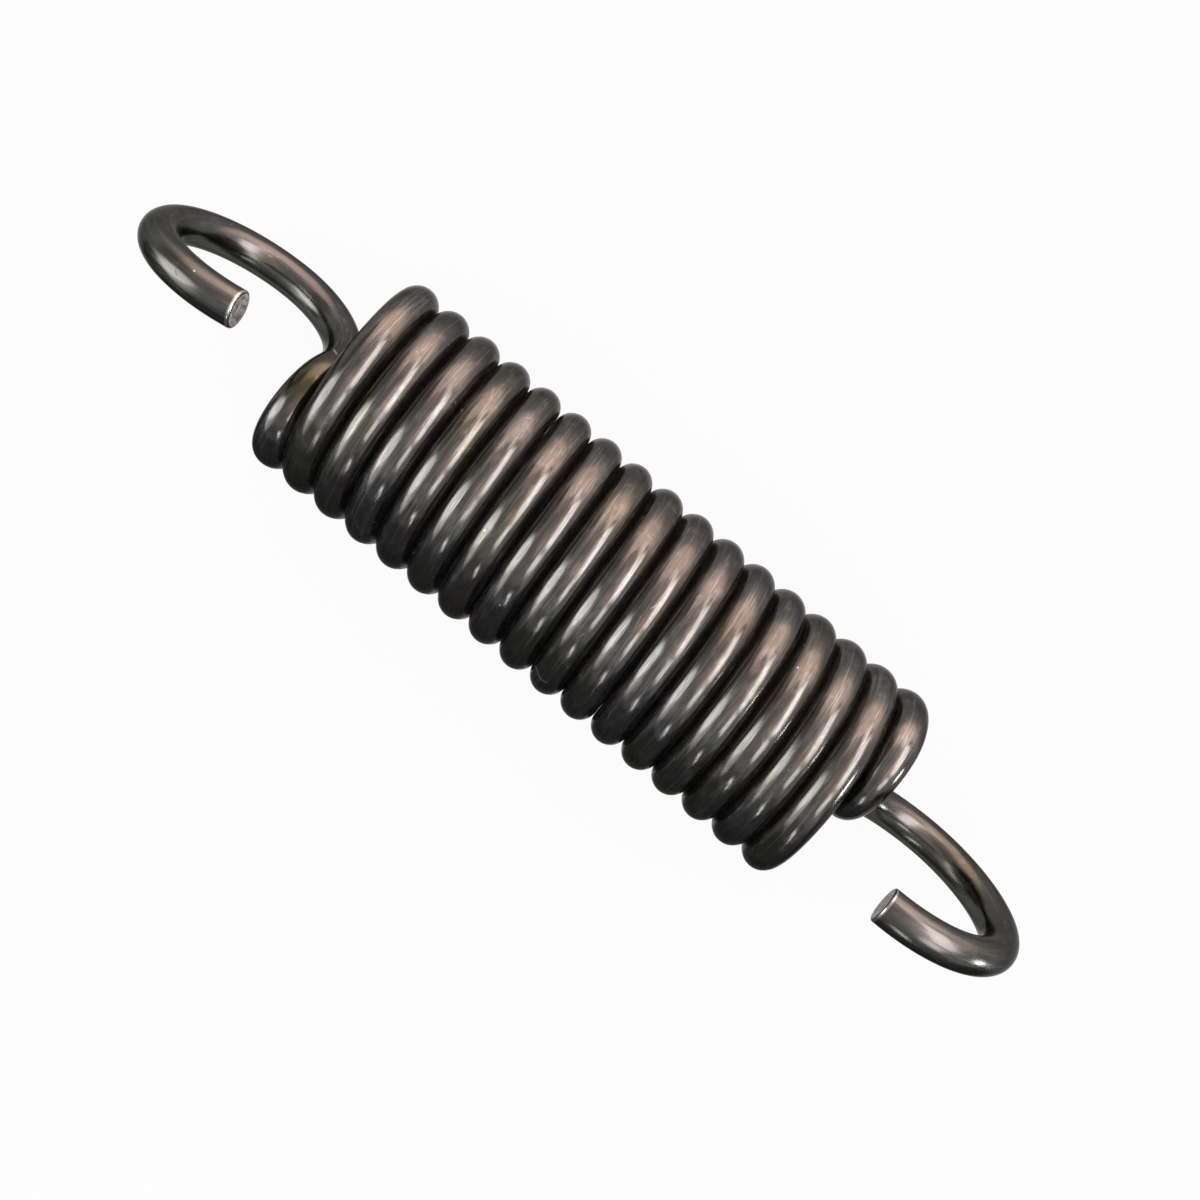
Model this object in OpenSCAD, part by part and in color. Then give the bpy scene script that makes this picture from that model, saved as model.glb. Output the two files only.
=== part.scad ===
// Extension spring: one length of round steel wire, close wound, with an
// open hook at each end. It lies on its side, with +X along the coil's axis
// and +Z up. The origin is under the middle of its overall length.

/* [Wire] */
// Diameter of the round wire
wire_d = 4; // [3:0.1:4.4]

/* [Coil] */
// Outside diameter over the coils
coil_od = 24.5; // [23:0.5:34]
// Turns of the coil between the two hooks
coil_turns = 16.625; // [4.625:1:24.625]
// Clear space between neighbouring turns
coil_gap = 0.02; // [0.02:0.01:1]
// Where the coil starts, in degrees from +Y towards +Z
coil_start = 172.5; // [0:7.5:345]

/* [Bend from the coil towards its axis] */
// Radius of the wire's centre line, both hooks
turn_in_r = 5; // [4.6:0.1:5.6]
// Angle of the bend at the left hook
left_turn_in_sweep = 144; // [125:1:160]
// Angle of the bend at the right hook
right_turn_in_sweep = 153; // [125:1:160]

/* [Left hook] */
// Radius of the shank that leaves the coil
left_shank_r = 11.2; // [10:0.2:15]
// Angle of the shank
left_shank_sweep = 92; // [80:1:110]
// Radius of the crown, where the load pulls
left_crown_r = 10.4; // [8:0.2:13]
// Angle of the crown
left_crown_sweep = 94; // [90:1:120]
// Radius of the free end
left_tip_r = 10.2; // [8:0.2:13]
// Angle of the free end
left_tip_sweep = 104; // [40:1:110]

/* [Right hook] */
// Radius of the shank that leaves the coil
right_shank_r = 10.2; // [8:0.2:13]
// Angle of the shank
right_shank_sweep = 93; // [80:1:110]
// Radius of the crown, where the load pulls
right_crown_r = 11.2; // [8:0.2:13]
// Angle of the crown
right_crown_sweep = 101; // [80:1:110]
// Radius of the free end
right_tip_r = 10.6; // [8:0.2:13]
// Angle of the free end
right_tip_sweep = 98; // [40:1:110]

/* [Set of the hooks] */
// Angle by which the crown leaves the shank's plane
crown_twist = 8; // [0:1:12]
// Angle by which the free end leaves the crown's plane
tip_twist = 4; // [0:1:12]

/* [Cut ends] */
// Angle by which the left cut is slanted to face upwards
left_cut_slant = 18; // [0:2:24]
// Angle by which the right cut is slanted to face upwards
right_cut_slant = 0; // [0:2:24]

/* [Mesh] */
// Flats round the wire
wire_sides = 12; // [8:2:12]
// Rings of points in one turn of the coil
rings_per_turn = 24; // [16:8:24]
// Angle between rings on the bends
bend_step = 13; // [12:1:20]

/* [Hidden] */

pitch = wire_d + coil_gap;
coil_r = (coil_od - wire_d) / 2;
coil_rings = round(coil_turns * rings_per_turn);
coil_end = coil_start + 360 * coil_turns;

// The many-sided section has the area of the round wire, and is turned half
// a flat so that neighbouring turns face each other with flats.
section_r = wire_d / 2 * sqrt(2 * PI / (wire_sides * sin(360 / wire_sides)));
half_flat = 180 / wire_sides;

// A bend is [radius, sweep, roll]. The roll turns the plane of the bend about
// the wire: 180 bends towards the coil's axis, 90 from there outwards.
inward = 180;
outward = 90;
left_bends = [
    [turn_in_r, left_turn_in_sweep, inward],
    [left_shank_r, left_shank_sweep, outward],
    [left_crown_r, left_crown_sweep, crown_twist],
    [left_tip_r, left_tip_sweep, tip_twist]
];
right_bends = [
    [turn_in_r, right_turn_in_sweep, inward],
    [right_shank_r, right_shank_sweep, outward],
    [right_crown_r, right_crown_sweep, crown_twist],
    [right_tip_r, right_tip_sweep, tip_twist]
];

// A station is [point, tangent, normal, turn of the section about the wire].
function coil_point(a) = [pitch * (a - coil_start) / 360, coil_r * cos(a), coil_r * sin(a)];
function coil_normal(a) = [0, cos(a), sin(a)];
function coil_tangent(a) =
    let (v = [pitch / (2 * PI), -coil_r * sin(a), coil_r * cos(a)]) v / norm(v);
function coil_station(a) = [coil_point(a), coil_tangent(a), coil_normal(a), 0];

// Leaving the left end, the path runs against the winding.
function reversed(s) = [s[0], -s[1], s[2], -s[3]];

// The station after an angle a of a bend of radius r, already rolled.
function along_bend(s, r, a) = [
    s[0] + r * sin(a) * s[1] + r * (1 - cos(a)) * s[2],
    cos(a) * s[1] + sin(a) * s[2],
    cos(a) * s[2] - sin(a) * s[1],
    s[3]
];
function rolled(s, roll) = [
    s[0],
    s[1],
    cos(roll) * s[2] + sin(roll) * cross(s[1], s[2]),
    s[3] - roll
];

// All stations of a chain of bends, from the one that follows start.
function bend_chain(start, bends, i = 0) =
    i == len(bends) ? [] :
    let (
        s = rolled(start, bends[i][2]),
        steps = ceil(bends[i][1] / bend_step),
        bend = [for (k = [1:steps]) along_bend(s, bends[i][0], bends[i][1] * k / steps)]
    )
    concat(bend, bend_chain(bend[steps - 1], bends, i + 1));

left_hook = bend_chain(reversed(coil_station(coil_start)), left_bends);
right_hook = bend_chain(coil_station(coil_end), right_bends);
coil = [for (k = [0:coil_rings]) coil_station(coil_start + 360 * coil_turns * k / coil_rings)];
left_count = len(left_hook);
path = concat(
    [for (k = [left_count - 1:-1:0]) reversed(left_hook[k])],
    coil,
    right_hook
);

// One ring of points round a station.
function ring(s) = [
    for (k = [0:wire_sides - 1])
    let (a = s[3] + half_flat + 360 * k / wire_sides)
    s[0] + section_r * (cos(a) * s[2] + sin(a) * cross(s[1], s[2]))
];

// The ring at a cut end lies in the slanted plane of the cut. The slant is
// negative where the path leaves the cut.
function cut_ring(s, slant) =
    let (up = [0, 0, 1] - s[1][2] * s[1], side = up / norm(up))
    [for (p = ring(s)) p - s[1] * ((p - s[0]) * side) * tan(slant)];

last = len(path) - 1;
rings = concat(
    [cut_ring(path[0], -left_cut_slant)],
    [for (i = [1:last - 1]) ring(path[i])],
    [cut_ring(path[last], right_cut_slant)]
);
points = [for (r = rings) each r];

// Where the spring lies: its lowest point on the floor, and the middle of
// its overall length over the origin.
low_x = min([for (p = points) p[0]]);
high_x = max([for (p = points) p[0]]);
low_z = min([for (p = points) p[2]]);

// Skin over the rings, closed by the two cut ends.
function skin_faces(n, count) = [
    for (i = [0:count - 2], k = [0:n - 1])
    let (next = (k + 1) % n)
    each [
        [i * n + k, (i + 1) * n + next, i * n + next],
        [i * n + k, (i + 1) * n + k, (i + 1) * n + next]
    ]
];
function end_faces(n, count) = [
    [for (k = [0:n - 1]) k],
    [for (k = [n - 1:-1:0]) (count - 1) * n + k]
];

module spring() {
    color([0.27, 0.25, 0.24])
    translate([-(low_x + high_x) / 2, 0, -low_z])
    polyhedron(
        points = points,
        faces = concat(
            skin_faces(wire_sides, len(rings)),
            end_faces(wire_sides, len(rings))
        ),
        convexity = 10
    );
}

spring();
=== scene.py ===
import bpy
import math
from mathutils import Matrix, Vector


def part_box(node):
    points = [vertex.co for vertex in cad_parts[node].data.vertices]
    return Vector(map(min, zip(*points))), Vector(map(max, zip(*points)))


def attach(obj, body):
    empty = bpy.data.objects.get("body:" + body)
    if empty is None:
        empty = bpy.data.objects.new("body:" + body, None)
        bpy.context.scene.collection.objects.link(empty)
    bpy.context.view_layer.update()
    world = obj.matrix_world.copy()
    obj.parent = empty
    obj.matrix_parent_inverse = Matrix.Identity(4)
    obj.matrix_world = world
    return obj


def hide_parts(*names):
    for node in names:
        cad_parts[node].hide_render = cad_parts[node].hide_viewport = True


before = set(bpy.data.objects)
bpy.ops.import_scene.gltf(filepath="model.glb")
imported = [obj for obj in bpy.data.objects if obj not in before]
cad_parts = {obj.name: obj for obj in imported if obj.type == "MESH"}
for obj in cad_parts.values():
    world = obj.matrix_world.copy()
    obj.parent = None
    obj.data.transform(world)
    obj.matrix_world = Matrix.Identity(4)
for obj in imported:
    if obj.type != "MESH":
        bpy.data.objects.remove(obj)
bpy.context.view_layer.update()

mm = 0.001
lowCorner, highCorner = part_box("spring")
# the coil lies on the floor, so its axis is half its width up
axisHeight = (highCorner.y - lowCorner.y) / 2


class Sock:
    # an output socket of a node tree, with arithmetic that adds Math nodes
    def __init__(self, tree, socket):
        self.tree = tree
        self.socket = socket

    def calc(self, operation, *values):
        return self.tree.node("ShaderNodeMath", {"operation": operation}, dict(enumerate(values)))

    def __add__(self, other):
        return self.calc("ADD", self, other)

    def __radd__(self, other):
        return self.calc("ADD", other, self)

    def __sub__(self, other):
        return self.calc("SUBTRACT", self, other)

    def __rsub__(self, other):
        return self.calc("SUBTRACT", other, self)

    def __mul__(self, other):
        return self.calc("MULTIPLY", self, other)

    def __rmul__(self, other):
        return self.calc("MULTIPLY", other, self)

    def __truediv__(self, other):
        return self.calc("DIVIDE", self, other)

    def __rtruediv__(self, other):
        return self.calc("DIVIDE", other, self)


class Tree:
    # a node tree that is filled by one method
    def __init__(self, nodeTree):
        self.nodeTree = nodeTree

    def node(self, kind, settings=None, inputs=None, output=0):
        item = self.nodeTree.nodes.new(kind)
        for name, value in (settings or {}).items():
            setattr(item, name, value)
        for key, value in (inputs or {}).items():
            if isinstance(value, Sock):
                self.nodeTree.links.new(value.socket, item.inputs[key])
            else:
                item.inputs[key].default_value = value
        return Sock(self, item.outputs[output]) if len(item.outputs) else item

    def output(self, sock, name):
        return Sock(self, sock.socket.node.outputs[name])

    def vector(self, operation, *values, output=0):
        settings = {"operation": operation}
        return self.node("ShaderNodeVectorMath", settings, dict(enumerate(values)), output)

    def scaled(self, vector, factor):
        settings = {"operation": "SCALE"}
        return self.node("ShaderNodeVectorMath", settings, {"Vector": vector, "Scale": factor})

    def combined(self, *vectors):
        total = vectors[0]
        for other in vectors[1:]:
            total = self.vector("ADD", total, other)
        return total

    def smooth(self, value, low, high):
        return self.node("ShaderNodeMapRange", {"interpolation_type": "SMOOTHSTEP"},
                         {"Value": value, "From Min": low, "From Max": high})

    def mixed(self, factor, first, second):
        # a Mix node has its colours at 6 and 7, behind those of its other kinds, and the result at 2
        return self.node("ShaderNodeMix", {"data_type": "RGBA"}, {0: factor, 6: first, 7: second}, 2)

    def stored(self, geometry, kind, name, value):
        return self.node("GeometryNodeStoreNamedAttribute", {"data_type": kind, "domain": "POINT"},
                         {"Geometry": geometry, "Name": name, "Value": value})

    def named(self, kind, name):
        return self.node("GeometryNodeInputNamedAttribute", {"data_type": kind}, {"Name": name})

    def noise(self, vector, scale, detail=3.0, rough=0.5):
        return self.node("ShaderNodeTexNoise", {},
                         {"Vector": vector, "Scale": scale, "Detail": detail, "Roughness": rough})


def emptyTree(owner):
    # the node tree of a material or of the world, emptied
    owner.use_nodes = True
    owner.node_tree.nodes.clear()
    return Tree(owner.node_tree)


def grey(level):
    return (level, level, level, 1.0)


# the wire: lengths in millimetres, angles in degrees
wire = {
    "Wire diameter": 4.0,
    "Coil diameter": 24.5,
    "Turns": 16.625,
    "Gap": 0.02,
    "Coil start": 172.5,  # from +Y towards +Z
    "Ring spacing": 0.72,
    "Sides": 48,
    "Edge round": 0.22,  # how far the cut ends are rounded over
    "Edge rings": 4,
    "Left slant": 18.0,  # the cuts face upwards by this much
    "Right slant": 14.0,
    "Slant reach": 2.4,  # the rings between a cut and here lean with it
}

# each bend of a hook: radius, sweep and roll about the wire, from the coil outwards
hookBends = {
    "left": [(5.0, 144, 180), (11.2, 92, 90), (10.4, 94, 8), (10.2, 104, 4)],
    "right": [(5.0, 153, 180), (10.2, 93, 90), (11.2, 101, 8), (10.6, 98, 4)],
}


def addSocket(nodeTree, name, kind, way, value=None):
    socket = nodeTree.interface.new_socket(name=name, in_out=way, socket_type=kind)
    if value is not None:
        socket.default_value = value
    return socket


def bendTree():
    # one bend: carries a point, its tangent and its normal along an arc
    nodeTree = bpy.data.node_groups.new("wireBend", "GeometryNodeTree")
    for name in ("Distance", "Radius", "Sweep", "Roll"):
        addSocket(nodeTree, name, "NodeSocketFloat", "INPUT")
    for name in ("Point", "Tangent", "Normal"):
        addSocket(nodeTree, name, "NodeSocketVector", "INPUT")
    addSocket(nodeTree, "Distance", "NodeSocketFloat", "OUTPUT")
    for name in ("Point", "Tangent", "Normal"):
        addSocket(nodeTree, name, "NodeSocketVector", "OUTPUT")
    tree = Tree(nodeTree)
    given = tree.node("NodeGroupInput")
    distance, radius, sweep, roll = [tree.output(given, n)
                                     for n in ("Distance", "Radius", "Sweep", "Roll")]
    point, tangent, normal = [tree.output(given, n) for n in ("Point", "Tangent", "Normal")]
    rolled = tree.node("ShaderNodeVectorRotate", {"rotation_type": "AXIS_ANGLE"},
                       {"Vector": normal, "Axis": tangent, "Angle": roll})
    length = radius * sweep
    travelled = length.calc("MINIMUM", length.calc("MAXIMUM", distance, 0.0), length)
    angle = travelled / radius
    sine = angle.calc("SINE", angle)
    cosine = angle.calc("COSINE", angle)
    newPoint = tree.combined(point, tree.scaled(tangent, radius * sine),
                             tree.scaled(rolled, radius * (1 - cosine)))
    newTangent = tree.combined(tree.scaled(tangent, cosine), tree.scaled(rolled, sine))
    newNormal = tree.combined(tree.scaled(rolled, cosine), tree.scaled(tangent, 0 - sine))
    tree.node("NodeGroupOutput", {}, {"Distance": distance - length, "Point": newPoint,
                                      "Tangent": newTangent, "Normal": newNormal})
    return nodeTree


def wireLength():
    # length of the whole wire in millimetres
    coilRadius = (wire["Coil diameter"] - wire["Wire diameter"]) / 2
    rise = (wire["Wire diameter"] + wire["Gap"]) / (2 * math.pi)
    total = wire["Turns"] * 2 * math.pi * math.hypot(coilRadius, rise)
    for bends in hookBends.values():
        total += sum(radius * math.radians(turned) for radius, turned, _ in bends)
    return total


def bendNames(side, place):
    return [f"{side.capitalize()} bend {place + 1} {what}" for what in ("radius", "sweep", "roll")]


def wireTree(material):
    nodeTree = bpy.data.node_groups.new("springWire", "GeometryNodeTree")
    addSocket(nodeTree, "Geometry", "NodeSocketGeometry", "INPUT")
    for name, value in wire.items():
        kind = "NodeSocketInt" if isinstance(value, int) else "NodeSocketFloat"
        addSocket(nodeTree, name, kind, "INPUT", value)
    for side, bends in hookBends.items():
        for place, bend in enumerate(bends):
            for name, value in zip(bendNames(side, place), bend):
                addSocket(nodeTree, name, "NodeSocketFloat", "INPUT", float(value))
    addSocket(nodeTree, "Geometry", "NodeSocketGeometry", "OUTPUT")
    tree = Tree(nodeTree)
    given = tree.node("NodeGroupInput")

    def size(name):
        return tree.output(given, name)

    degree = math.pi / 180
    wireRadius = size("Wire diameter") * (0.5 * mm)
    coilRadius = (size("Coil diameter") - size("Wire diameter")) * (0.5 * mm)
    pitch = (size("Wire diameter") + size("Gap")) * mm
    start = size("Coil start") * degree
    sweep = size("Turns") * (2 * math.pi)
    rise = pitch / (2 * math.pi)
    arc = rise.calc("SQRT", coilRadius * coilRadius + rise * rise)
    coilLength = sweep * arc
    bends = {side: [[size(n) for n in bendNames(side, place)] for place in range(len(hookBends[side]))]
             for side in hookBends}
    hookLength = {}
    for side in bends:
        total = 0
        for radius, turned, _ in bends[side]:
            total = radius * turned * (mm * degree) + total
        hookLength[side] = total
    allLength = hookLength["left"] + coilLength + hookLength["right"]

    # rings stand close together where the cut ends are rounded over, and evenly between
    edge = size("Edge round") * mm
    edgeRings = size("Edge rings")
    count = edge.calc("CEIL", allLength / (size("Ring spacing") * mm)) + edgeRings * 2
    index = tree.node("GeometryNodeInputIndex")
    fromEnd = index.calc("MINIMUM", index, count - 1 - index)
    turnedOver = index.calc("MINIMUM", fromEnd / edgeRings, 1.0) * (math.pi / 2)
    step = (allLength - edge * 2) / (count - 1 - edgeRings * 2)
    inward = (edge * (1 - index.calc("COSINE", turnedOver))
              + index.calc("MAXIMUM", fromEnd - edgeRings, 0.0) * step)
    isLate = index.calc("GREATER_THAN", index * 2, count - 1)
    place = inward + isLate * (allLength - inward * 2)
    thickness = 1 - edge / wireRadius * (1 - index.calc("SINE", turnedOver))

    def coilStation(angle, way):
        cosine = angle.calc("COSINE", angle)
        sine = angle.calc("SINE", angle)
        point = tree.node("ShaderNodeCombineXYZ", {},
                          {0: rise * (angle - start), 1: coilRadius * cosine, 2: coilRadius * sine})
        tangent = tree.node("ShaderNodeCombineXYZ", {},
                            {0: rise / arc * way, 1: coilRadius / arc * sine * (0 - way),
                             2: coilRadius / arc * cosine * way})
        normal = tree.node("ShaderNodeCombineXYZ", {}, {0: 0.0, 1: cosine, 2: sine})
        return point, tangent, normal

    along = place - hookLength["left"]
    coilAngle = start + along.calc("MINIMUM", along.calc("MAXIMUM", along, 0.0), coilLength) / arc
    coilPoint = coilStation(coilAngle, 1.0)[0]
    bendGroup = bendTree()

    def hookPoint(side, distance, station):
        point, tangent, normal = station
        for radius, turned, roll in bends[side]:
            bend = tree.node("GeometryNodeGroup", {"node_tree": bendGroup},
                             {"Distance": distance, "Point": point, "Tangent": tangent, "Normal": normal,
                              "Radius": radius * mm, "Sweep": turned * degree, "Roll": roll * degree})
            distance, point, tangent, normal = [tree.output(bend, n)
                                                for n in ("Distance", "Point", "Tangent", "Normal")]
        return point

    leftPoint = hookPoint("left", 0 - along, coilStation(start, -1.0))
    rightPoint = hookPoint("right", along - coilLength, coilStation(start + sweep, 1.0))
    onLeft = along.calc("LESS_THAN", along, 0.0)
    onRight = along.calc("GREATER_THAN", along, coilLength)
    centre = tree.combined(tree.scaled(coilPoint, 1 - onLeft - onRight),
                           tree.scaled(leftPoint, onLeft), tree.scaled(rightPoint, onRight))

    line = tree.node("GeometryNodeMeshLine", {"mode": "OFFSET"}, {"Count": count})
    laid = tree.node("GeometryNodeSetPosition", {}, {"Geometry": line, "Position": centre})
    measured = tree.stored(laid, "FLOAT", "along", place / mm)
    measured = tree.stored(measured, "FLOAT", "thick", thickness)
    path = tree.node("GeometryNodeMeshToCurve", {}, {"Mesh": measured})
    for name, value in (("middle", tree.node("GeometryNodeInputPosition")),
                        ("heading", tree.node("GeometryNodeInputTangent"))):
        path = tree.stored(path, "FLOAT_VECTOR", name, value)
    profile = tree.node("GeometryNodeCurvePrimitiveCircle", {"mode": "RADIUS"},
                        {"Resolution": size("Sides"), "Radius": wireRadius})
    rimPlace = tree.scaled(tree.node("GeometryNodeInputPosition"), 1 / mm)
    profile = tree.stored(profile, "FLOAT_VECTOR", "rim", rimPlace)
    skin = tree.node("GeometryNodeCurveToMesh", {},
                     {"Curve": path, "Profile Curve": profile, "Scale": tree.named("FLOAT", "thick"),
                      "Fill Caps": True})

    # the cut ends are slanted, by moving each point of their rings along the wire
    middle, heading = [tree.named("FLOAT_VECTOR", n) for n in ("middle", "heading")]
    reached = tree.named("FLOAT", "along")
    reach = size("Slant reach")
    nearLeft = tree.smooth(reached, reach, size("Edge round"))
    nearRight = tree.smooth(allLength / mm - reached, reach, size("Edge round"))
    slope = (nearRight * edge.calc("TANGENT", size("Right slant") * degree)
             - nearLeft * edge.calc("TANGENT", size("Left slant") * degree))
    upright = tree.vector("SUBTRACT", (0.0, 0.0, 1.0),
                          tree.vector("PROJECT", (0.0, 0.0, 1.0), heading))
    fromMiddle = tree.vector("SUBTRACT", tree.node("GeometryNodeInputPosition"), middle)
    lift = tree.vector("DOT_PRODUCT", fromMiddle, tree.vector("NORMALIZE", upright), output="Value")
    skin = tree.node("GeometryNodeSetPosition", {},
                     {"Geometry": skin, "Offset": tree.scaled(heading, 0 - lift * slope)})
    for name in ("middle", "heading", "thick"):
        skin = tree.node("GeometryNodeRemoveAttribute", {}, {"Geometry": skin, "Name": name})
    # everything is smooth but the two cut faces, which have more than four corners
    corners = tree.node("GeometryNodeInputMeshFaceNeighbors")
    isRound = corners.calc("LESS_THAN", tree.output(corners, "Vertex Count"), 5.0)
    shaded = tree.node("GeometryNodeSetShadeSmooth", {"domain": "FACE"},
                       {"Geometry": skin, "Shade Smooth": isRound})
    real = tree.node("GeometryNodeRealizeInstances", {}, {"Geometry": shaded})
    done = tree.node("GeometryNodeSetMaterial", {}, {"Geometry": real, "Material": material})
    tree.node("NodeGroupOutput", {}, {"Geometry": done})
    return nodeTree


def socketId(nodeTree, name):
    for item in nodeTree.interface.items_tree:
        if item.name == name and item.in_out == "INPUT":
            return item.identifier


def makeWire(material):
    nodeTree = wireTree(material)
    holder = bpy.data.objects.new("wirePath", bpy.data.meshes.new("wirePath"))
    bpy.context.scene.collection.objects.link(holder)
    modifier = holder.modifiers.new("springWire", "NODES")
    modifier.node_group = nodeTree
    for name, value in wire.items():
        modifier[socketId(nodeTree, name)] = value
    evaluated = holder.evaluated_get(bpy.context.evaluated_depsgraph_get())
    mesh = bpy.data.meshes.new_from_object(evaluated)
    bpy.data.objects.remove(holder)
    mesh.name = "springWire"
    # the path starts at the coil's left end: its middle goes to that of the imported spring
    reach = [vertex.co.x for vertex in mesh.vertices]
    shift = (lowCorner.x + highCorner.x - min(reach) - max(reach)) / 2
    mesh.transform(Matrix.Translation((shift, 0, axisHeight)))
    piece = bpy.data.objects.new("springWire", mesh)
    bpy.context.scene.collection.objects.link(piece)
    return piece


# drawn and oil-tempered wire: its colours are linear
finish = {
    "steel": (0.0765, 0.0775, 0.0780, 1.0),
    "warm": (0.088, 0.078, 0.072, 1.0),
    "olive": (0.073, 0.072, 0.060, 1.0),
    "ochre": (0.040, 0.039, 0.024, 1.0),
    # this colour is dirt in the mottled layers and on the dark nick, and painted shade where it darkens
    # the grooves between the turns
    "grimeAndShade": (0.046, 0.042, 0.035, 1.0),
    "worn": (0.17, 0.167, 0.163, 1.0),
    "hook": (0.062, 0.0635, 0.0625, 1.0),
    # bare metal of the nicks and pits; the same colour paints one reflection, the light arc low on a
    # turn
    "nickAndReflection": (0.36, 0.36, 0.35, 1.0),
    "cut": (0.43, 0.425, 0.42, 1.0),
    "torn": (0.10, 0.10, 0.10, 1.0),
    "edgeTint": (0.42, 0.417, 0.41, 1.0),
    "bump": 0.07,
    "bumpDepth": 0.02,
}

# noises on the straightened wire, in millimetres: by how much its length is squeezed, so that
# they are drawn out along it, then scale, detail and roughness
streaks = {
    "cloudy": (0.12, 0.55, 3.0, 0.55),
    "drawn": (0.035, 4.2, 4.0, 0.6),
    "fine": (0.05, 13.0, 3.0, 0.6),
    "mottle": (0.7, 0.75, 4.0, 0.6),
    "handled": (0.6, 0.8, 3.0, 0.5),
}

# noises on the piece itself, in metres: scale, detail and roughness
grains = {
    "blotch": (160.0, 3.0, 0.55),
    "tear": (1500.0, 4.0, 0.65),
}

# masks made from those: noise, and where the mask fades in
fades = {
    "patchy": ("handled", 0.60, 0.70),
    "streaked": ("drawn", 0.35, 0.7),
    "worn": ("mottle", 0.48, 0.70),
    "broken": ("mottle", 0.36, 0.52),
}

# cells on the straightened wire: kind, squeeze, scale, and where the mark fades in
cells = {
    "scratch": ("DISTANCE_TO_EDGE", 0.55, 0.33, 0.018, 0.004),
    "pit": ("F1", 1.0, 0.30, 0.045, 0.02),
}

# lengths in millimetres over which the wire changes, from and to
zones = {
    "coil": (-0.9, -2.4),  # along the axis, from the coil's end
    "hook": (1.0, 4.0),
    "crest": (-0.35, 0.95),  # away from the axis, from the coil's mean radius
    "flank": (1.9, 0.5),
    "burr": (0.34, 0.20),  # along the wire, from a cut
}

# the colours that lie over the bare steel: noise, where it fades in, weight and colour
layers = [
    ("cloudy", 0.42, 0.66, 0.5, "warm"),
    ("blotch", 0.48, 0.66, 0.85, "olive"),
    ("mottle", 0.50, 0.68, 0.34, "worn"),
    ("mottle", 0.46, 0.28, 0.55, "grimeAndShade"),
    ("drawn", 0.50, 0.68, 0.55, "worn"),
    ("fine", 0.54, 0.36, 0.60, "grimeAndShade"),
]

# the colours of the marks over those: mark, weight and colour
marks = [
    # the grooves between the turns are darkened: painted shade, with some dirt
    ("groove", 0.8, "grimeAndShade"),
    ("hook", 0.6, "hook"),
    ("scratch", 0.6, "worn"),
    ("pit", 0.8, "nickAndReflection"),
]

# what each mask adds to a value of the surface, from the plain one on
surface = {
    "metal": {"plain": 0.97, "cut": -0.32, "groove": -0.6},
    "rough": {"plain": 0.11, "streaked": 0.084, "blotch": 0.056, "worn": 0.06, "flank": 0.13,
              "hook": 0.04, "groove": 0.12, "cut": 0.35, "scratch": 0.1},
    "height": {"drawn": 0.30, "fine": 0.10, "scratch": -0.5, "pit": -0.6, "nickAndReflection": -0.8,
               "tornCut": 3.0},
}

# nicks that the photograph shows: lines of bare metal, one dark, and one light arc that is a painted
# reflection, with their half widths
nicks = {
    "grooveLeft": {"line": [(-20.9, 4.7, 22.7), (-19.9, 4.5, 22.7)], "half": 0.12, "colour": "nickAndReflection"},
    "grooveMiddle": {"line": [(-0.8, 8.0, 20.3), (0.2, 7.6, 20.7)], "half": 0.12, "colour": "nickAndReflection"},
    # a light arc: a painted reflection
    "lowerArcReflection": {"line": [(0.3, -10.3, 17.2), (1.5, -10.2, 18.0), (2.3, -10.9, 17.9),
                          (3.4, -10.7, 18.3)], "half": 0.16, "colour": "nickAndReflection"},
    "tipBranch": {"line": [(-48.5, -2.6, 25.6), (-48.1, -2.9, 25.6)], "half": 0.10, "colour": "grimeAndShade"},
    "shankLong": {"line": [(-34.9, 1.5, 14.6), (-33.8, 1.0, 15.8)], "half": 0.11, "colour": "nickAndReflection"},
    "shankShort": {"line": [(-34.6, 3.2, 13.0), (-34.1, 2.7, 13.6)], "half": 0.09, "colour": "nickAndReflection"},
}
nickEdge = (1.5, 0.5)  # a nick fades in between these shares of its half width
nickWeight = 0.85

# stains where the wire was bent: middle, reach, weight and colour
stains = {
    "leftTurnIn": {"at": (-33.6, -2.6, 19.2), "reach": 6.0, "weight": 1.0, "colour": "ochre"},
    "rightShank": {"at": (48.0, 2.6, 9.5), "reach": 9.0, "weight": 0.8, "colour": "ochre"},
}

# the sheared ends: from and to in shares of the wire's radius, weights of the colours
shear = {
    "face": (0.992, 0.965),
    "band": (0.72, 0.9),
    "bandWeight": 0.6,
    "tear": (0.36, 0.60),
    "tearWeight": 0.45,
    "tearMoreAtLeft": 0.45,
    "burrWeight": 0.55,
}


def fromLine(tree, place, start, end):
    # distance from a straight nick
    span = Vector(end) - Vector(start)
    reached = tree.vector("SUBTRACT", place, tuple(start))
    share = tree.vector("DOT_PRODUCT", reached, tuple(span / span.length_squared), output="Value")
    share = share.calc("MINIMUM", share.calc("MAXIMUM", share, 0.0), 1.0)
    foot = tree.scaled(tuple(span), share)
    return tree.vector("DISTANCE", reached, foot, output="Value")


def weighted(masks, weights):
    # the sum of the masks, each by its weight
    total = 0.0
    for name, weight in weights.items():
        total = masks[name] * weight + total
    return total


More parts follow.
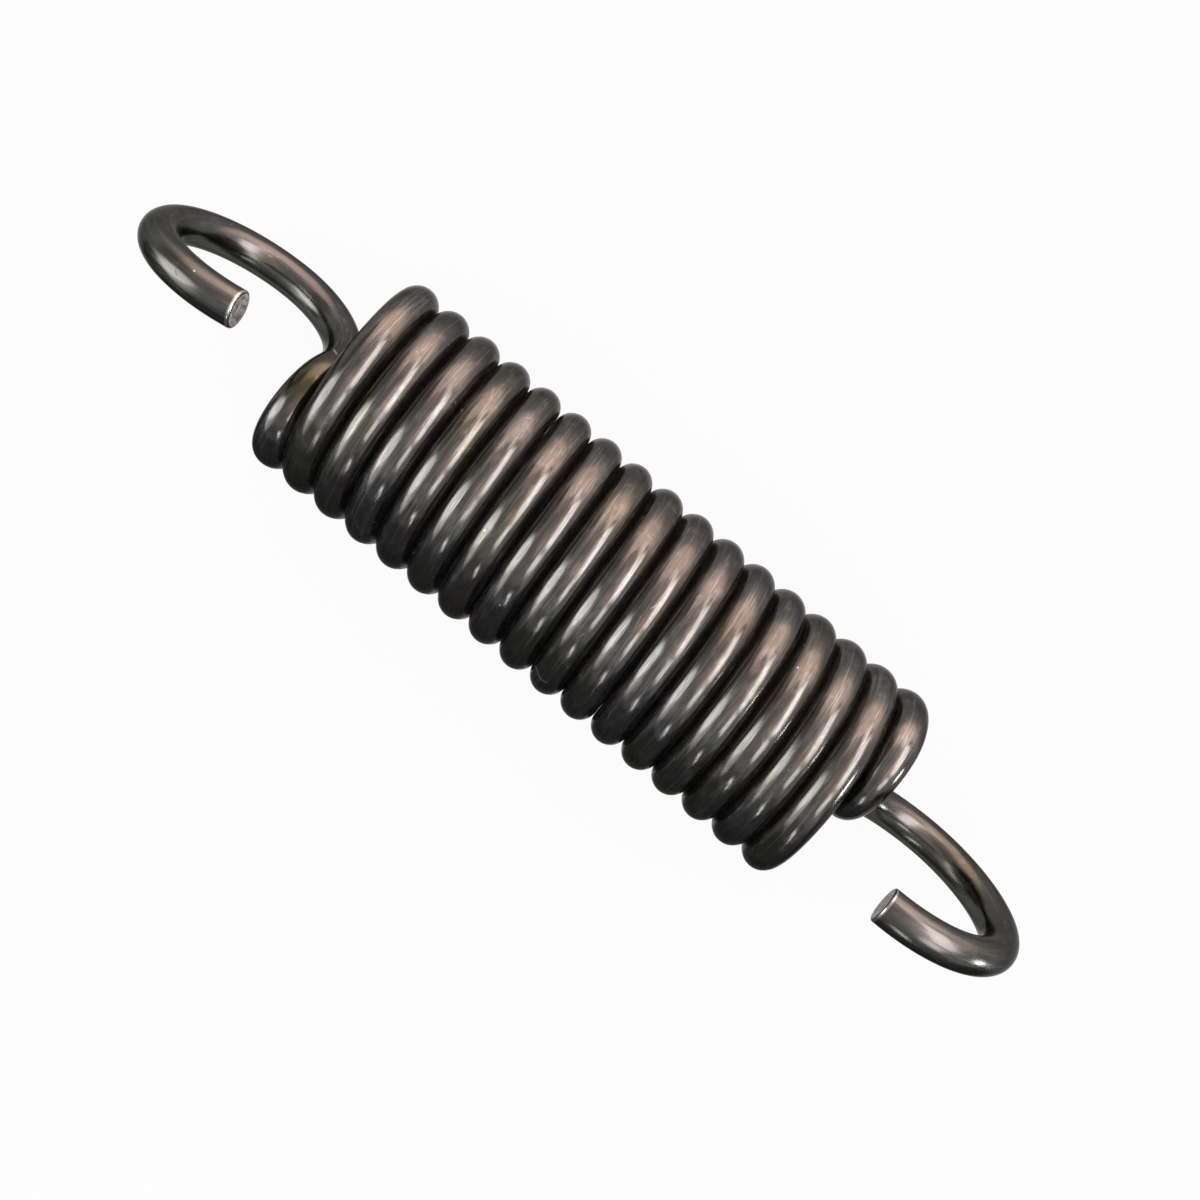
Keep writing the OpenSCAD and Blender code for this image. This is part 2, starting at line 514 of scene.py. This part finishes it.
def steelMaterial():
    material = bpy.data.materials.new("temperedSteel")
    tree = emptyTree(material)
    along = tree.node("ShaderNodeAttribute", {"attribute_name": "along"}, {}, "Fac")
    rim = tree.node("ShaderNodeAttribute", {"attribute_name": "rim"}, {}, "Vector")
    rimParts = tree.node("ShaderNodeSeparateXYZ", {}, {0: rim})
    rimX, rimY = tree.output(rimParts, "X"), tree.output(rimParts, "Y")
    place = tree.node("ShaderNodeTexCoord", {}, {}, "Object")
    inMillimetres = tree.scaled(place, 1 / mm)

    def straight(squeeze):
        # place on the straightened wire, with its length squeezed
        return tree.node("ShaderNodeCombineXYZ", {}, {0: along * squeeze, 1: rimX, 2: rimY})

    def zone(value, name, edge=0.0, unit=mm):
        # fades in over a zone's lengths, past an edge
        low, high = zones[name]
        return tree.smooth(value, edge + low * unit, edge + high * unit)

    masks = {"plain": 1.0}
    for name, (squeeze, *values) in streaks.items():
        masks[name] = tree.noise(straight(squeeze), *values)
    for name, values in grains.items():
        masks[name] = tree.noise(place, *values)
    for name, (feature, squeeze, scale, low, high) in cells.items():
        cell = tree.node("ShaderNodeTexVoronoi", {"feature": feature},
                         {"Vector": straight(squeeze), "Scale": scale})
        masks[name] = tree.smooth(cell, low, high)
    for name, (noise, low, high) in fades.items():
        masks[name] = tree.smooth(masks[noise], low, high)
    masks["scratch"] = masks["scratch"] * masks["patchy"]

    # where on the spring: the grooves between the turns, the flanks beside them, and the hooks
    parts = tree.node("ShaderNodeSeparateXYZ", {}, {0: place})
    x, y, z = [tree.output(parts, n) for n in "XYZ"]
    up = z - axisHeight
    fromAxis = x.calc("SQRT", y * y + up * up)
    fromMiddle = x.calc("ABSOLUTE", x)
    coilEnd = wire["Turns"] * (wire["Wire diameter"] + wire["Gap"]) / 2 * mm
    meanRadius = (wire["Coil diameter"] - wire["Wire diameter"]) / 2 * mm
    inCoil = zone(fromMiddle, "coil", coilEnd)
    # the inner side of the coil's wire and the grooves, where the colour carries painted shade
    masks["groove"] = inCoil * (1 - zone(fromAxis, "crest", meanRadius))
    masks["flank"] = inCoil * zone(fromAxis, "flank", meanRadius)
    masks["hook"] = zone(fromMiddle, "hook", coilEnd)

    colour = finish["steel"]
    for name, low, high, weight, shade in layers:
        colour = tree.mixed(tree.smooth(masks[name], low, high) * weight, colour, finish[shade])
    for name, weight, shade in marks:
        colour = tree.mixed(masks[name] * weight, colour, finish[shade])
    for stain in stains.values():
        distance = tree.vector("DISTANCE", inMillimetres, stain["at"], output="Value")
        stained = tree.smooth(distance, stain["reach"], 0.0) * masks["broken"] * stain["weight"]
        colour = tree.mixed(stained, colour, finish[stain["colour"]])
    masks["nickAndReflection"] = 0.0
    for nickAndReflection in nicks.values():
        for start, end in zip(nickAndReflection["line"], nickAndReflection["line"][1:]):
            distance = fromLine(tree, inMillimetres, start, end)
            mark = tree.smooth(distance, *[nickAndReflection["half"] * share for share in nickEdge])
            colour = tree.mixed(mark * nickWeight, colour, finish[nickAndReflection["colour"]])
            masks["nickAndReflection"] = mark + masks["nickAndReflection"]

    # the sheared ends: bare metal, torn inside a smoother band, and a bright burr round the rim
    wireRadius = wire["Wire diameter"] / 2
    fromCentre = rimX.calc("SQRT", rimX * rimX + rimY * rimY) / wireRadius
    masks["cut"] = tree.smooth(fromCentre, *shear["face"])
    masks["tornCut"] = masks["cut"] * masks["tear"]
    atLeft = x.calc("LESS_THAN", x, 0.0)
    tearWeight = shear["tearWeight"] + atLeft * shear["tearMoreAtLeft"]
    torn = tree.smooth(masks["tear"], *shear["tear"]) * tearWeight
    cutColour = tree.mixed(torn, finish["cut"], finish["torn"])
    band = tree.smooth(fromCentre, *shear["band"])
    cutColour = tree.mixed(band * shear["bandWeight"], cutColour, finish["cut"])
    colour = tree.mixed(masks["cut"], colour, cutColour)
    burr = zone(along, "burr", unit=1) + zone(wireLength() - along, "burr", unit=1)
    colour = tree.mixed((1 - masks["cut"]) * burr * shear["burrWeight"], colour, finish["cut"])

    bump = tree.node("ShaderNodeBump", {},
                     {"Height": weighted(masks, surface["height"]), "Strength": finish["bump"],
                      "Distance": finish["bumpDepth"] * mm})
    shader = tree.node("ShaderNodeBsdfPrincipled", {},
                       {"Base Color": colour, "Metallic": weighted(masks, surface["metal"]),
                        "Roughness": weighted(masks, surface["rough"]),
                        "Specular Tint": finish["edgeTint"], "Normal": bump})
    tree.node("ShaderNodeOutputMaterial", {}, {"Surface": shader})
    return material


# the camera: straight above the spring, leaning by a little over a degree
camera = {
    "place": (-1.8905, -1.049, 182.363),  # in millimetres
    "lean": -1.316,
    "roll": 39.603,
    "lens": 50.0,
    "sensor": 36.0,
    "nearest": 0.01,  # in metres, as the next
    "farthest": 20.0,
}


def makeCamera():
    data = bpy.data.cameras.new("camera")
    data.lens = camera["lens"]
    data.sensor_width = camera["sensor"]
    data.clip_start = camera["nearest"]
    data.clip_end = camera["farthest"]
    eye = bpy.data.objects.new("camera", data)
    bpy.context.scene.collection.objects.link(eye)
    turned = (Matrix.Rotation(math.radians(camera["lean"]), 4, "Y")
              @ Matrix.Rotation(math.radians(camera["roll"]), 4, "Z"))
    eye.matrix_world = Matrix.Translation(Vector(camera["place"]) * mm) @ turned
    bpy.context.scene.camera = eye


# lamps that only the wire's gloss shows, in metres: place from the middle of the spring, sides,
# which way the second side runs, brightness where the white room is 1, colour and shape
lamps = {
    "windowUpper": {"at": (0.270, 0.180, 0.330), "size": (0.195, 0.43), "along": (-0.22, 1.0, 0.0),
                    "level": 7.0, "colour": (1.0, 0.915, 0.895), "shape": "RECTANGLE"},
    "windowLower": {"at": (0.292, -0.155, 0.338), "size": (0.170, 0.17), "along": (0.10, -1.0, 0.0),
                    "level": 6.0, "colour": (1.0, 0.96, 0.95), "shape": "RECTANGLE"},
    "crownLamp": {"at": (0.490, 0.035, 0.062), "size": (0.055, 0.13), "along": (-0.06, 1.0, 0.0),
                  "level": 46.0, "colour": (1.0, 1.0, 1.0), "shape": "ELLIPSE"},
    "shankLamp": {"at": (-0.360, -0.360, 0.030), "size": (0.19, 0.10), "along": (0.0, 0.0, 1.0),
                  "level": 17.0, "colour": (1.0, 1.0, 1.0), "shape": "ELLIPSE"},
    "sideLamp": {"at": (-0.345, -0.160, 0.215), "size": (0.26, 0.36), "along": (0.3, 0.1, 1.0),
                 "level": 5.0, "colour": (1.0, 0.975, 0.965), "shape": "ELLIPSE"},
    "lowLamp": {"at": (0.076, -0.166, 0.078), "size": (0.022, 0.050), "along": (0.50, 0.16, -0.30),
                "level": 9.0, "colour": (1.0, 1.0, 1.0), "shape": "ELLIPSE"},
    "lowerLamp": {"at": (0.092, -0.171, 0.050), "size": (0.013, 0.022), "along": (0.50, 0.16, -0.30),
                  "level": 13.0, "colour": (1.0, 1.0, 1.0), "shape": "ELLIPSE"},
}

# soft glows, brightest in the middle, with half sizes in place of sides: they face the spring,
# or away from where "back" points
glows = {
    "bridgeGlow": {"at": (0.030, 0.410, 0.270), "half": (0.13, 0.32), "along": (-0.60, 0.23, -0.40),
                   "level": 8.5, "colour": (1.0, 0.79, 0.72, 1.0)},
    "warmGlow": {"at": (-0.03, 0.45, 0.185), "half": (0.50, 0.88), "along": (1.0, 0.0, 0.0),
                 "level": 6.2, "colour": (1.0, 0.74, 0.64, 1.0)},
    "warmHaze": {"at": (0.02, 0.40, 0.30), "half": (0.50, 1.30), "along": (1.0, 0.0, 0.0),
                 "level": 1.8, "colour": (1.0, 0.78, 0.68, 1.0)},
    "windowGlow": {"at": (0.25, 0.14, 0.39), "half": (0.30, 0.50), "along": (0.0, 1.0, 0.0),
                   "level": 5.0, "colour": (1.0, 0.83, 0.79, 1.0)},
    "ceilingGlow": {"at": (0.06, 0.0, 0.48), "half": (0.24, 0.28), "along": (0.0, 1.0, 0.0),
                    "level": 2.3, "colour": (1.0, 0.75, 0.64, 1.0)},
    "floorGlow": {"at": (-0.02, 0.25, -0.009), "half": (0.25, 0.80), "along": (1.0, 0.0, 0.0),
                  "back": (0.0, 0.0, 1.0), "level": 3.0, "colour": (1.0, 0.80, 0.72, 1.0)},
    "sideGlow": {"at": (-0.36, -0.27, 0.13), "half": (0.32, 0.40), "along": (0.3, 0.1, 1.0),
                 "level": 4.0, "colour": (1.0, 0.97, 0.95, 1.0)},
}

# cards that the wire mirrors: below the spring in the picture, and on its left
cards = {
    "darkCard": {"corners": [(-0.5, -0.0145, 0.001), (0.5, -0.0145, 0.001), (0.5, -0.30, 0.07),
                             (-0.5, -0.30, 0.07)], "colour": grey(0.19)},
    "greyCard": {"corners": [(-0.6, -0.42, 0.07), (0.6, -0.42, 0.07), (0.6, -0.44, 0.36),
                             (-0.6, -0.44, 0.36)], "colour": grey(0.5)},
    "brownCard": {"corners": [(-0.55, -0.05, 0.10), (-0.50, 0.70, 0.10), (-0.46, 0.70, 0.42),
                              (-0.50, -0.05, 0.42)], "colour": (0.62, 0.53, 0.42, 1.0)},
}


def plain(name, corners, material):
    mesh = bpy.data.meshes.new(name)
    mesh.from_pydata(corners, [], [(0, 1, 2, 3)])
    mesh.materials.append(material)
    flat = bpy.data.objects.new(name, mesh)
    bpy.context.scene.collection.objects.link(flat)
    return flat


def hideCard(card):
    # only gloss shows it
    card.visible_camera = False
    card.visible_diffuse = False
    card.visible_shadow = False


def makeCards():
    for name, card in cards.items():
        material = bpy.data.materials.new(name)
        tree = emptyTree(material)
        felt = tree.node("ShaderNodeEmission", {}, {"Color": card["colour"], "Strength": 1.0})
        tree.node("ShaderNodeOutputMaterial", {}, {"Surface": felt})
        hideCard(plain(name, card["corners"], material))


def facingSpring(at, along, back=None):
    # a place from the middle of the spring, turned to face it, with the second side running along
    back = Vector(back or at).normalized()
    across = Vector(along).cross(back).normalized()
    turned = Matrix((across, back.cross(across), back)).transposed().to_4x4()
    return Matrix.Translation(Vector(at) + Vector((0.0, 0.0, axisHeight))) @ turned


def makeGlows():
    for name, glow in glows.items():
        material = bpy.data.materials.new(name)
        tree = emptyTree(material)
        place = tree.node("ShaderNodeTexCoord", {}, {}, "Object")
        fromMiddle = tree.vector("LENGTH", place, output="Value")
        fade = tree.smooth(fromMiddle, 1.0, 0.0)
        light = tree.node("ShaderNodeEmission", {}, {"Color": glow["colour"], "Strength": glow["level"]})
        clear = tree.node("ShaderNodeBsdfTransparent", {}, {"Color": grey(1.0)})
        both = tree.node("ShaderNodeMixShader", {}, {0: fade, 1: clear, 2: light})
        tree.node("ShaderNodeOutputMaterial", {}, {"Surface": both})
        card = plain(name, [(-1, -1, 0), (1, -1, 0), (1, 1, 0), (-1, 1, 0)], material)
        card.matrix_world = (facingSpring(glow["at"], glow["along"], glow.get("back"))
                             @ Matrix.Diagonal((glow["half"][0], glow["half"][1], 1.0, 1.0)))
        hideCard(card)


def makeLamps():
    for name, lamp in lamps.items():
        data = bpy.data.lights.new(name, "AREA")
        data.shape = lamp["shape"]
        data.size, data.size_y = lamp["size"]
        data.color = lamp["colour"]
        area = data.size * data.size_y * (math.pi / 4 if lamp["shape"] == "ELLIPSE" else 1)
        data.energy = lamp["level"] * math.pi * area
        lampObject = bpy.data.objects.new(name, data)
        bpy.context.scene.collection.objects.link(lampObject)
        lampObject.matrix_world = facingSpring(lamp["at"], lamp["along"])
        lampObject.visible_diffuse = False
        lampObject.visible_camera = False


def seenWhite(tree):
    # 1 for camera, glossy and transmission rays
    path = tree.node("ShaderNodeLightPath")
    seen = [tree.output(path, n) for n in ("Is Camera Ray", "Is Glossy Ray", "Is Transmission Ray")]
    total = seen[0] + seen[1] + seen[2]
    return total.calc("MINIMUM", total, 1.0)


# the white room and its floor: "seen" is what the camera and the wire's gloss get
stage = {
    "roomLight": 0.85,
    "roomSeen": 1.0,
    "floorPaint": 0.9,
    "floorSeen": 0.93,
    "floorHalf": 3.0,
}


def makeStage(lowest):
    world = bpy.data.worlds.new("room")
    tree = emptyTree(world)
    level = stage["roomLight"] + seenWhite(tree) * (stage["roomSeen"] - stage["roomLight"])
    room = tree.node("ShaderNodeBackground", {}, {"Color": grey(1.0), "Strength": level})
    tree.node("ShaderNodeOutputWorld", {}, {"Surface": room})
    bpy.context.scene.world = world

    material = bpy.data.materials.new("paleFloor")
    tree = emptyTree(material)
    paint = tree.node("ShaderNodeBsdfDiffuse", {}, {"Color": grey(stage["floorPaint"])})
    white = tree.node("ShaderNodeEmission", {}, {"Color": grey(1.0), "Strength": 1.0})
    shown = tree.node("ShaderNodeMixShader", {},
                      {0: seenWhite(tree) * stage["floorSeen"], 1: paint, 2: white})
    tree.node("ShaderNodeOutputMaterial", {}, {"Surface": shown})
    half = stage["floorHalf"]
    plain("floor", [(-half, -half, lowest), (half, -half, lowest), (half, half, lowest),
                    (-half, half, lowest)], material)


spring = makeWire(steelMaterial())
print("wire laid:", len(spring.data.polygons), "faces")
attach(spring, "root")
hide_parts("spring")
makeCamera()
makeLamps()
makeGlows()
makeCards()
print("lit by", len(lamps), "lamps and", len(glows), "glows, with", len(cards), "cards")
lowest = min(vertex.co.z for vertex in spring.data.vertices)
makeStage(lowest)
print("stage set, floor at", round(lowest / mm, 3), "mm")
bpy.context.scene.view_settings.view_transform = "Standard"
